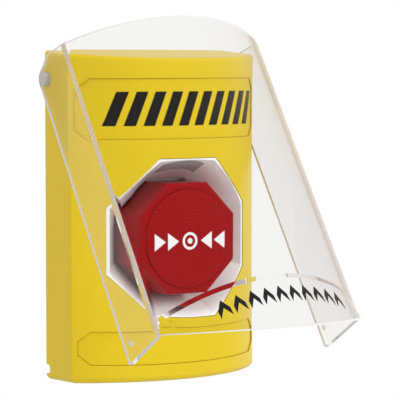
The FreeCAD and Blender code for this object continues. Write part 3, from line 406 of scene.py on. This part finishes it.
def clear_material(name, tint, roughness=0.02, through=1.0):
    """Clear plastic that lets light through to what is behind it, with pale edges."""
    material, tree = blank_material(name)
    skin = use_group(
        tree,
        "station_skin",
        {"Color": rgba(tint), "Shade": 0.02, "Scale": 25.0, "Roughness": roughness, "Spread": 0.02},
    )
    body = add(
        tree,
        "ShaderNodeBsdfPrincipled",
        {
            "Base Color": skin.outputs["Color"],
            "Roughness": skin.outputs["Roughness"],
            "IOR": 1.5,
            "Specular Tint": (0.08, 0.08, 0.08, 1),
            "Transmission Weight": through,
            "Normal": bumped(tree, skin.outputs["Height"], 0.01, CLEAR_BUMP_DEPTH),
        },
    )
    passing = add(tree, "ShaderNodeBsdfTransparent", {"Color": (1, 1, 1, 1)})
    # painted light: rays caught inside the cover's walls end on this pale diffuse, which stands in for the
    # light trapped there
    pale = add(tree, "ShaderNodeBsdfDiffuse", {"Color": rgba(EDGE_TINT)})
    path = add(tree, "ShaderNodeLightPath")
    trapped = calc(tree, "GREATER_THAN", path.outputs["Glossy Depth"], 0.5)
    edge = add(tree, "ShaderNodeMixShader", {0: trapped, 1: body.outputs[0], 2: pale.outputs[0]})
    ray = calc(tree, "MAXIMUM", path.outputs["Is Shadow Ray"], path.outputs["Is Diffuse Ray"])
    mix = add(tree, "ShaderNodeMixShader", {0: ray, 1: edge.outputs[0], 2: passing.outputs[0]})
    output = add(tree, "ShaderNodeOutputMaterial")
    tree.links.new(mix.outputs[0], output.inputs["Surface"])
    return material


def station_materials(scene):
    """Makes every finish, once."""
    colours = scene.station_colours
    if "station_yellow" in bpy.data.materials:
        return
    solid_material("station_yellow", colours.yellow, 0.34, gloss=0.2)
    striped_material("station_label", colours, scene.station_print)
    solid_material("station_white", colours.white, 0.22, shade=0.04, coat=0.3, bump=0.02)
    solid_material("station_red", colours.red, 0.15, bump=0.01, gloss=0.12)
    solid_material("station_black", colours.black, 0.45)
    solid_material("station_ink", colours.black, 0.4, shade=0.1, bump=0.02, gloss=0.1)
    solid_material("station_ink_white", colours.ink_white, 0.35, shade=0.04, bump=0.02)
    solid_material("station_grey", colours.grey, 0.5, bump=0.1)
    solid_material("station_pin", colours.pin, 0.3, coat=0.2)
    solid_material("station_board", colours.board, 0.35, scale=300.0)
    solid_material("station_lamp", colours.lamp, 0.15, coat=0.6)
    solid_material("station_steel", colours.steel, 0.3, metallic=1.0, scale=400.0)
    solid_material("station_brass", colours.brass, 0.28, metallic=1.0, scale=300.0)
    # the clear latch nubs are painted opaque in the pale tint of light trapped in the walls
    solid_material("station_nub", EDGE_TINT, 0.3, gloss=0.2)
    clear_material("station_clear", colours.clear)
    clear_material("station_smoke", colours.smoke, roughness=0.12, through=0.35)


def paint(node, material):
    """Gives a fixed piece one of the finishes."""
    mesh = frame["nodes"][node].data
    mesh.materials.clear()
    mesh.materials.append(bpy.data.materials[material])


# Mesh helpers

def mesh_object(name, build, material, body):
    """A new piece that rides on a body, with the mesh that build makes."""
    bm = bmesh.new()
    build(bm)
    bmesh.ops.remove_doubles(bm, verts=bm.verts, dist=MERGE)
    bmesh.ops.recalc_face_normals(bm, faces=bm.faces)
    mesh = bpy.data.meshes.new(name)
    bm.to_mesh(mesh)
    bm.free()
    mesh.materials.append(bpy.data.materials[material])
    obj = bpy.data.objects.new(name, mesh)
    bpy.context.scene.collection.objects.link(obj)
    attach(obj, body)
    return obj


def sharp_edges(bm, angle):
    """The edges between two faces that turn by more than the angle."""
    return [e for e in bm.edges if len(e.link_faces) == 2 and e.calc_face_angle() > angle]


def round_edges(bm, edges, width, segments=2):
    bmesh.ops.bevel(
        bm,
        geom=edges,
        offset=width,
        segments=segments,
        profile=0.5,
        affect="EDGES",
        clamp_overlap=True,
        material=-1,
    )


def shade(bm, smooth_below):
    """Shades every face smooth, apart from the edges above an angle."""
    for face in bm.faces:
        face.smooth = True
    for edge in sharp_edges(bm, smooth_below):
        edge.smooth = False


def thin_plate(bm, outline, rise):
    """A flat closed outline given thickness along a vector."""
    face = bm.faces.new([bm.verts.new(point) for point in outline])
    made = bmesh.ops.extrude_face_region(bm, geom=[face])
    moved = [item for item in made["geom"] if isinstance(item, bmesh.types.BMVert)]
    bmesh.ops.translate(bm, verts=moved, vec=rise)


# Cover

def side_top(cover, hinge, depth):
    """Height of the side wall's upper edge at a depth."""
    away = math.atan2(cover.kink_height - hinge.z, -cover.kink_depth - hinge.y)
    reach = math.hypot(cover.kink_height - hinge.z, cover.kink_depth + hinge.y)
    touch = away - math.acos(cover.lobe / reach)
    touch_depth = -hinge.y - cover.lobe * math.cos(touch)
    touch_height = hinge.z + cover.lobe * math.sin(touch)
    if depth < touch_depth:
        off = min(abs(depth + hinge.y), cover.lobe)
        return hinge.z + math.sqrt(cover.lobe**2 - off**2)
    if depth < cover.kink_depth:
        share = (depth - touch_depth) / (cover.kink_depth - touch_depth)
        return touch_height + share * (cover.kink_height - touch_height)
    share = (depth - cover.kink_depth) / (cover.side_depth - cover.kink_depth)
    return cover.kink_height + share * (cover.top - cover.kink_height)


def bow_depth(x, half_width, side_depth, bow):
    """Depth of a bowed line that passes its ends at the side depth."""
    radius = (half_width**2 + bow**2) / (2 * bow)
    return math.sqrt(radius**2 - x**2) - radius + side_depth + bow


def inner_plan(cover):
    """Half width, side depth and bow of the front plate's inner face."""
    half = cover.half_width - cover.wall
    radius = (cover.half_width**2 + cover.bow**2) / (2 * cover.bow) - cover.wall
    bow = radius - math.sqrt(radius**2 - half**2)
    return half, cover.side_depth + cover.bow - cover.wall - bow, bow


def front_column(cover, x, half_width, side_depth, bow, step=0.0):
    """The front's (x, y, z) points at a place across it: top, fold and foot."""
    depth = bow_depth(x, half_width, side_depth, bow)
    crown = cover.side_depth + cover.bow
    fold = cover.fold + step + cover.fold_slope * (depth - crown)
    fall = math.cos(cover.lip_tilt) - cover.foot_slope * math.sin(cover.lip_tilt)
    foot = cover.bottom - cover.foot_slope * (depth - cover.side_depth)
    lean = (fold - foot) / fall * math.sin(cover.lip_tilt)
    room = max(bow_depth(x, half_width, side_depth, bow + cover.lip_reach) - depth, 0.01 * MM)
    low_depth = depth + lean * room / (lean**LIMIT_POWER + room**LIMIT_POWER) ** (1 / LIMIT_POWER)
    low = cover.bottom - cover.foot_slope * (low_depth - cover.side_depth)
    return (x, -depth, cover.top), (x, -depth, fold), (x, -low_depth, low)


def cover_sections(cover, hinge):
    """Closed outlines across the cover's wall, from the left back edge round to the right one."""
    inner_half, inner_side, inner_bow = inner_plan(cover)
    side_fold = cover.fold - cover.fold_slope * cover.bow
    wall = []
    turns = [math.radians(k * LOBE_STEP) for k in range(LOBE_STEPS)]
    depths = [cover.back + cover.lobe * (1 - math.cos(turn)) for turn in turns]
    depths += [cover.back + LOBE_END, cover.kink_depth, SIDE_MIDDLE, cover.side_depth - cover.wall]
    for depth in depths:
        heights = (cover.bottom, side_fold, side_top(cover, hinge, depth))
        outer = [(-cover.half_width, -depth, z) for z in heights]
        inner = [(-inner_half, -depth, z) for z in reversed(heights)]
        wall.append(outer + inner)
    front = []
    shares = [2 * k / cover.steps - 1 for k in range(cover.steps + 1)]
    plain = 1 - CORNER_CLEAR * cover.corner / cover.half_width
    for share in shares:
        if plain <= abs(share) < 1:
            continue
        outer = front_column(cover, share * cover.half_width, cover.half_width, cover.side_depth, cover.bow)
        inner = front_column(cover, share * inner_half, inner_half, inner_side, inner_bow, cover.fold_step)
        front.append([*reversed(outer), *inner])
    mirrored = [[(-x, y, z) for x, y, z in section] for section in reversed(wall)]
    return wall + front + mirrored


def raised(cover, hinge):
    """Turns the closed cover to its raised place."""
    turn = Matrix.Rotation(-cover.open_angle, 4, "X")
    return Matrix.Translation(hinge) @ turn @ Matrix.Translation(-hinge)


def hinge_point():
    joint = next(j for j in frame["joints"] if j["name"] == "cover_hinge")
    return Vector(joint["pos_m"])


def closed_loop(bm, section):
    """The edges of one closed outline."""
    corners = [bm.verts.new(point) for point in section]
    return [bm.edges.new((corners[k - 1], corners[k])) for k in range(len(corners))]


def corner_edges(bm, cover):
    """The outer upright edges between the side walls and the front."""

    def at_corner(vert):
        return abs(abs(vert.co.x) - cover.half_width) < NEAR and abs(-vert.co.y - cover.side_depth) < NEAR

    return [edge for edge in bm.edges if all(at_corner(vert) for vert in edge.verts)]


def fold_edges(bm, cover):
    """The edges along the fold, on the outer and the inner face of the front."""

    def at_fold(vert, step):
        height = cover.fold + step + cover.fold_slope * (-vert.co.y - cover.side_depth - cover.bow)
        return abs(vert.co.z - height) < NEAR

    return [e for e in bm.edges for step in (0, cover.fold_step) if all(at_fold(v, step) for v in e.verts)]


def add_nub(bm, cover, side):
    """A latch nub on the inner face of a side wall."""
    across = cover.half_width - cover.wall - cover.nub_height / 2
    place = Matrix.Translation((side * across, -cover.nub_depth, cover.nub_place))
    bmesh.ops.create_cone(
        bm,
        cap_ends=True,
        segments=24,
        radius1=cover.nub,
        radius2=cover.nub - cover.nub_height,
        depth=cover.nub_height,
        matrix=place @ Matrix.Rotation(-side * math.pi / 2, 4, "Y"),
    )


def build_cover(bm, cover):
    """The folded sheet as one closed mesh, with the nubs in the second material."""
    hinge = hinge_point()
    loops = [closed_loop(bm, section) for section in cover_sections(cover, hinge)]
    for near, far in zip(loops, loops[1:]):
        bmesh.ops.bridge_loops(bm, edges=near + far)
    for loop in (loops[0], loops[-1]):
        bmesh.ops.contextual_create(bm, geom=loop)
    bmesh.ops.recalc_face_normals(bm, faces=bm.faces)
    round_edges(bm, corner_edges(bm, cover), cover.corner, CORNER_SEGMENTS)
    round_edges(bm, sharp_edges(bm, HARD_ABOVE), cover.edge)
    shade(bm, SMOOTH_BELOW)
    for edge in fold_edges(bm, cover):
        edge.smooth = False
    wall_faces = set(bm.faces)
    for side in (-1, 1):
        add_nub(bm, cover, side)
    for face in bm.faces:
        face.material_index = 0 if face in wall_faces else 1
    bmesh.ops.transform(bm, matrix=raised(cover, hinge), verts=bm.verts)


class STATION_OT_cover(Operator):
    """Builds the clear cover in its raised place, and finishes its hinge pins"""

    bl_idname = "station.cover"
    bl_label = "Clear Cover"

    def execute(self, context):
        station_materials(context.scene)
        cover = context.scene.station_cover
        obj = mesh_object(
            "clear_cover", lambda bm: build_cover(bm, cover), "station_clear", "cover"
        )
        obj.data.materials.append(bpy.data.materials["station_nub"])
        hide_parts("cover")
        for node in ("hinge_pin_left", "hinge_pin_right"):
            paint(node, "station_pin")
        return {"FINISHED"}


# Printed shapes

def chevron_outline(width, height, stroke):
    """Upright chevron about its middle, as (across, up) points."""
    half = width / 2
    rise = height / 2
    left = [(-half, -rise), (-half, -rise + stroke)]
    right = [(half, -rise + stroke), (half, -rise)]
    return [*left, (0, rise), *right, (0, rise - stroke)]


def lip_place(cover, x, down):
    """Point on the lip's outer face, down from the fold, and the face's normal there."""
    step = 0.1 * MM
    depths = [bow_depth(x + dx, cover.half_width, cover.side_depth, cover.bow) for dx in (0, step)]
    crown = cover.side_depth + cover.bow
    near, far = [Vector((0, -depth, cover.fold + cover.fold_slope * (depth - crown))) for depth in depths]
    fall = Vector((0, -math.sin(cover.lip_tilt), -math.cos(cover.lip_tilt)))
    across = far - near + Vector((step, 0, 0))
    return near + Vector((x, 0, 0)) + fall * down, fall.cross(across).normalized()


def build_chevrons(bm, cover, sizes):
    """Dark upright chevrons in a row across the lip's outer face."""
    span = sizes.chevron_span - sizes.chevron_width
    middle = sizes.chevron_top + sizes.chevron_height / 2
    for k in range(sizes.chevron_count):
        centre = span * (k / (sizes.chevron_count - 1) - 0.5)
        outline = chevron_outline(sizes.chevron_width, sizes.chevron_height, sizes.chevron_stroke)
        places = [lip_place(cover, centre + across, middle - up) for across, up in outline]
        normal = lip_place(cover, centre, middle)[1]
        points = [point + normal * LIP_PRINT_GAP for point, _normal in places]
        for half in (points[:3] + points[5:], points[2:]):
            thin_plate(bm, half, normal * sizes.lift)
    bmesh.ops.transform(bm, matrix=raised(cover, hinge_point()), verts=bm.verts)


def round_outline(x, y, z, radius, steps=48):
    """Points round a circle that faces the front."""
    turns = [2 * math.pi * k / steps for k in range(steps)]
    return [Vector((x + radius * math.cos(t), y, z + radius * math.sin(t))) for t in turns]


def build_symbol(bm, sizes):
    """Ring and dot with two arrows on each side that point to it."""
    low, _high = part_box("button_face")
    y = low.y - FACE_PRINT_GAP
    x, z = sizes.symbol_x, sizes.symbol_z
    rise = Vector((0, -sizes.lift, 0))
    thin_plate(bm, round_outline(x, y, z, sizes.dot_radius), rise)
    outer = round_outline(x, y, z, sizes.ring_radius)
    inner = round_outline(x, y, z, sizes.ring_radius - sizes.ring_width)
    for k in range(len(outer)):
        thin_plate(bm, [outer[k - 1], outer[k], inner[k], inner[k - 1]], rise)
    pitch = sizes.arrow_length + ARROW_SPACE * sizes.arrow_gap
    for side in (-1, 1):
        for step in range(2):
            near = sizes.ring_radius + sizes.arrow_gap + step * pitch
            far = near + sizes.arrow_length
            tips = [(near, 0), (far, sizes.ring_radius), (far, -sizes.ring_radius)]
            thin_plate(bm, [Vector((x + side * a, y, z + b)) for a, b in tips], rise)


class STATION_OT_print(Operator):
    """Adds the plain printed shapes on the lip and on the button"""

    bl_idname = "station.print"
    bl_label = "Print"

    def execute(self, context):
        station_materials(context.scene)
        cover = context.scene.station_cover
        sizes = context.scene.station_print
        mesh_object(
            "lip_print", lambda bm: build_chevrons(bm, cover, sizes), "station_ink", "cover"
        )
        mesh_object(
            "button_print", lambda bm: build_symbol(bm, sizes), "station_ink_white", "button"
        )
        return {"FINISHED"}


# Housing's shell

def flatten_end(bm, housing, end, draft, half_width, half_height):
    """Lays the bevelled front part of the top, or of the bottom, into the plane of the rest."""
    for vert in bm.verts:
        height = end * vert.co.z
        front = bow_depth(min(abs(vert.co.x), half_width), half_width, housing.side_depth, housing.bow)
        on_front = height > half_height - BEVEL_ZONE and abs(-vert.co.y - front) < FRONT_NEAR
        if on_front or height > half_height - END_ZONE:
            vert.co.z = end * (half_height + draft * vert.co.y)


def round_end(bm, housing, end, draft, radius, half_width, half_height):
    """Rounds the outer edge of the top or of the bottom, along both sides and the bow."""
    bow_radius = (half_width**2 + housing.bow**2) / (2 * housing.bow)
    centre = bow_radius - housing.side_depth - housing.bow
    away = Vector((0, -draft, end))
    for step in range(1, ROUND_STEPS + 1):
        below = radius * (1 - math.cos(step * math.pi / 2 / ROUND_STEPS))
        bmesh.ops.bisect_plane(
            bm,
            geom=[*bm.verts, *bm.edges, *bm.faces],
            dist=MERGE,
            plane_co=(0, 0, end * (half_height - below)),
            plane_no=away.normalized(),
        )
    for vert in bm.verts:
        below = half_height - away.dot(vert.co)
        if below >= radius:
            continue
        inset = radius - math.sqrt(radius**2 - (radius - max(below, 0)) ** 2)
        x = max(min(vert.co.x, half_width - inset), inset - half_width)
        reach = math.hypot(x, vert.co.y - centre)
        share = min((bow_radius - inset) / reach, 1)
        vert.co.x = x * share
        vert.co.y = centre + (vert.co.y - centre) * share


def build_housing(bm, housing):
    """The housing with rounded upper and lower edges."""
    bm.from_mesh(frame["nodes"]["housing"].data)
    bmesh.ops.remove_doubles(bm, verts=bm.verts, dist=MERGE)
    _low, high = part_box("housing")
    ends = ((1, housing.top_draft, housing.top_edge), (-1, housing.draft, housing.edge))
    for end, draft, radius in ends:
        flatten_end(bm, housing, end, draft, high.x, high.z)
        round_end(bm, housing, end, draft, radius, high.x, high.z)
    bmesh.ops.recalc_face_normals(bm, faces=bm.faces)
    shade(bm, SHELL_SMOOTH_BELOW)


class STATION_OT_housing(Operator):
    """Builds the housing's shell, and finishes its labels, back plate and locking screw"""

    bl_idname = "station.housing"
    bl_label = "Housing"

    def execute(self, context):
        station_materials(context.scene)
        housing = context.scene.station_housing
        obj = mesh_object(
            "housing_shell", lambda bm: build_housing(bm, housing), "station_yellow", "base"
        )
        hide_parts("housing")
        paint("upper_label", "station_label")
        paint("lower_label", "station_label")
        paint("back_plate", "station_grey")
        paint("lock_screw", "station_steel")
        return {"FINISHED"}


class STATION_OT_dish(Operator):
    """Finishes the dish, its screws, its status window and the lamp"""

    bl_idname = "station.dish"
    bl_label = "Dish"

    def execute(self, context):
        station_materials(context.scene)
        paint("bezel_dish", "station_white")
        paint("status_lens", "station_smoke")
        paint("lamp_board", "station_board")
        paint("status_lamp", "station_lamp")
        paint("bezel_screws", "station_steel")
        return {"FINISHED"}


# Pieces behind the front

def seat_spring(node):
    """Replaces a spring by a copy of it that rides on the base."""
    source = frame["nodes"][node].data
    obj = mesh_object(
        node + "_coil", lambda bm: bm.from_mesh(source), "station_steel", "base"
    )
    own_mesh(obj)
    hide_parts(node)


class STATION_OT_button(Operator):
    """Finishes the push button and its operator, and seats its spring"""

    bl_idname = "station.button"
    bl_label = "Button"

    def execute(self, context):
        station_materials(context.scene)
        for node in ("button_cap", "button_face"):
            paint(node, "station_red")
        for node in ("button_stem", "operator_sleeve", "sleeve_nut"):
            paint(node, "station_black")
        paint("stem_screw", "station_steel")
        seat_spring("return_spring")
        return {"FINISHED"}


class STATION_OT_contacts(Operator):
    """Finishes the contact blocks and their carrier, and seats their springs"""

    bl_idname = "station.contacts"
    bl_label = "Contacts"

    def execute(self, context):
        station_materials(context.scene)
        paint("contact_carrier", "station_black")
        paint("carrier_screws", "station_steel")
        paint("terminal_screws", "station_steel")
        for side in ("left", "right"):
            paint("contact_block_" + side, "station_grey")
            paint("plunger_" + side, "station_white")
            seat_spring("contact_spring_" + side)
            paint("contact_bridge_" + side, "station_brass")
            paint("fixed_contacts_" + side, "station_brass")
        return {"FINISHED"}


# Stage

def build_world():
    """White to the camera and in the clear cover, and softer where it lights the pieces."""
    world = bpy.data.worlds.new("station_world")
    bpy.context.scene.world = world
    world.use_nodes = True
    tree = world.node_tree
    tree.nodes.clear()
    path = add(tree, "ShaderNodeLightPath")
    seen = calc(tree, "MAXIMUM", path.outputs["Is Camera Ray"], path.outputs["Is Glossy Ray"])
    seen = calc(tree, "MAXIMUM", seen, path.outputs["Is Transmission Ray"])
    soft = add(tree, "ShaderNodeBackground", {"Color": WORLD_TINT, "Strength": WORLD_STRENGTH})
    plain = add(tree, "ShaderNodeBackground", {"Color": rgba(WHITE), "Strength": 1.0})
    mix = add(tree, "ShaderNodeMixShader", {0: seen, 1: soft.outputs[0], 2: plain.outputs[0]})
    output = add(tree, "ShaderNodeOutputWorld")
    tree.links.new(mix.outputs[0], output.inputs["Surface"])


def build_light(name, place, size, power, tint):
    """An area light that faces the station."""
    data = bpy.data.lights.new(name, "AREA")
    data.shape = "RECTANGLE"
    data.size, data.size_y = size
    data.energy = power
    data.color = tint
    light = bpy.data.objects.new(name, data)
    light.visible_glossy = False
    light.location = place
    light.rotation_euler = (Vector(LIGHT_TARGET) - Vector(place)).to_track_quat("-Z", "Y").to_euler()
    bpy.context.scene.collection.objects.link(light)


def build_floor():
    bm = bmesh.new()
    bmesh.ops.create_circle(bm, cap_ends=True, segments=96, radius=FLOOR_RADIUS)
    mesh = bpy.data.meshes.new("floor")
    bm.to_mesh(mesh)
    bm.free()
    solid_material("station_floor", FLOOR_TINT, 0.6, shade=0.03)
    mesh.materials.append(bpy.data.materials["station_floor"])
    floor = bpy.data.objects.new("floor", mesh)
    floor.location = FLOOR_PLACE
    bpy.context.scene.collection.objects.link(floor)


def build_camera():
    """The camera at the photograph's angle."""
    level = math.cos(CAMERA_PITCH)
    back = Vector((-math.sin(CAMERA_YAW) * level, -math.cos(CAMERA_YAW) * level, math.sin(CAMERA_PITCH)))
    data = bpy.data.cameras.new("camera")
    data.sensor_width = CAMERA_SENSOR
    data.lens = CAMERA_LENS
    camera = bpy.data.objects.new("camera", data)
    camera.location = Vector(CAMERA_TARGET) + back * CAMERA_DISTANCE
    camera.rotation_euler = (-back).to_track_quat("-Z", "Y").to_euler()
    bpy.context.scene.collection.objects.link(camera)
    bpy.context.scene.camera = camera


class STATION_OT_stage(Operator):
    """Sets the world, the lights, the floor and the camera"""

    bl_idname = "station.stage"
    bl_label = "Stage"

    def execute(self, context):
        build_world()
        build_floor()
        for light in LIGHTS:
            build_light(*light)
        build_camera()
        context.scene.view_settings.view_transform = "Standard"
        return {"FINISHED"}


class STATION_PT_panel(Panel):
    """Sizes, colours and pieces of the push station"""

    bl_label = "Push Station"
    bl_idname = "STATION_PT_panel"
    bl_space_type = "VIEW_3D"
    bl_region_type = "UI"
    bl_category = "Push Station"

    def draw(self, context):
        scene = context.scene
        groups = (scene.station_housing, scene.station_cover, scene.station_print, scene.station_colours)
        for group in groups:
            column = self.layout.column()
            for key in group.__annotations__:
                column.prop(group, key)
        for operator in OPERATORS:
            self.layout.operator(operator.bl_idname)


OPERATORS = (
    STATION_OT_housing,
    STATION_OT_dish,
    STATION_OT_button,
    STATION_OT_contacts,
    STATION_OT_cover,
    STATION_OT_print,
    STATION_OT_stage,
)
CLASSES = (StationHousing, StationCover, StationPrint, StationColours, *OPERATORS, STATION_PT_panel)


def register():
    for cls in CLASSES:
        bpy.utils.register_class(cls)
    bpy.types.Scene.station_housing = PointerProperty(type=StationHousing)
    bpy.types.Scene.station_cover = PointerProperty(type=StationCover)
    bpy.types.Scene.station_print = PointerProperty(type=StationPrint)
    bpy.types.Scene.station_colours = PointerProperty(type=StationColours)


def unregister():
    del bpy.types.Scene.station_colours
    del bpy.types.Scene.station_print
    del bpy.types.Scene.station_cover
    del bpy.types.Scene.station_housing
    for cls in reversed(CLASSES):
        bpy.utils.unregister_class(cls)


def main():
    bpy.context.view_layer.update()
    register()
    bpy.ops.station.housing()
    bpy.ops.station.dish()
    bpy.ops.station.button()
    bpy.ops.station.contacts()
    bpy.ops.station.cover()
    bpy.ops.station.print()
    bpy.ops.station.stage()


if __name__ == "__main__":
    main()
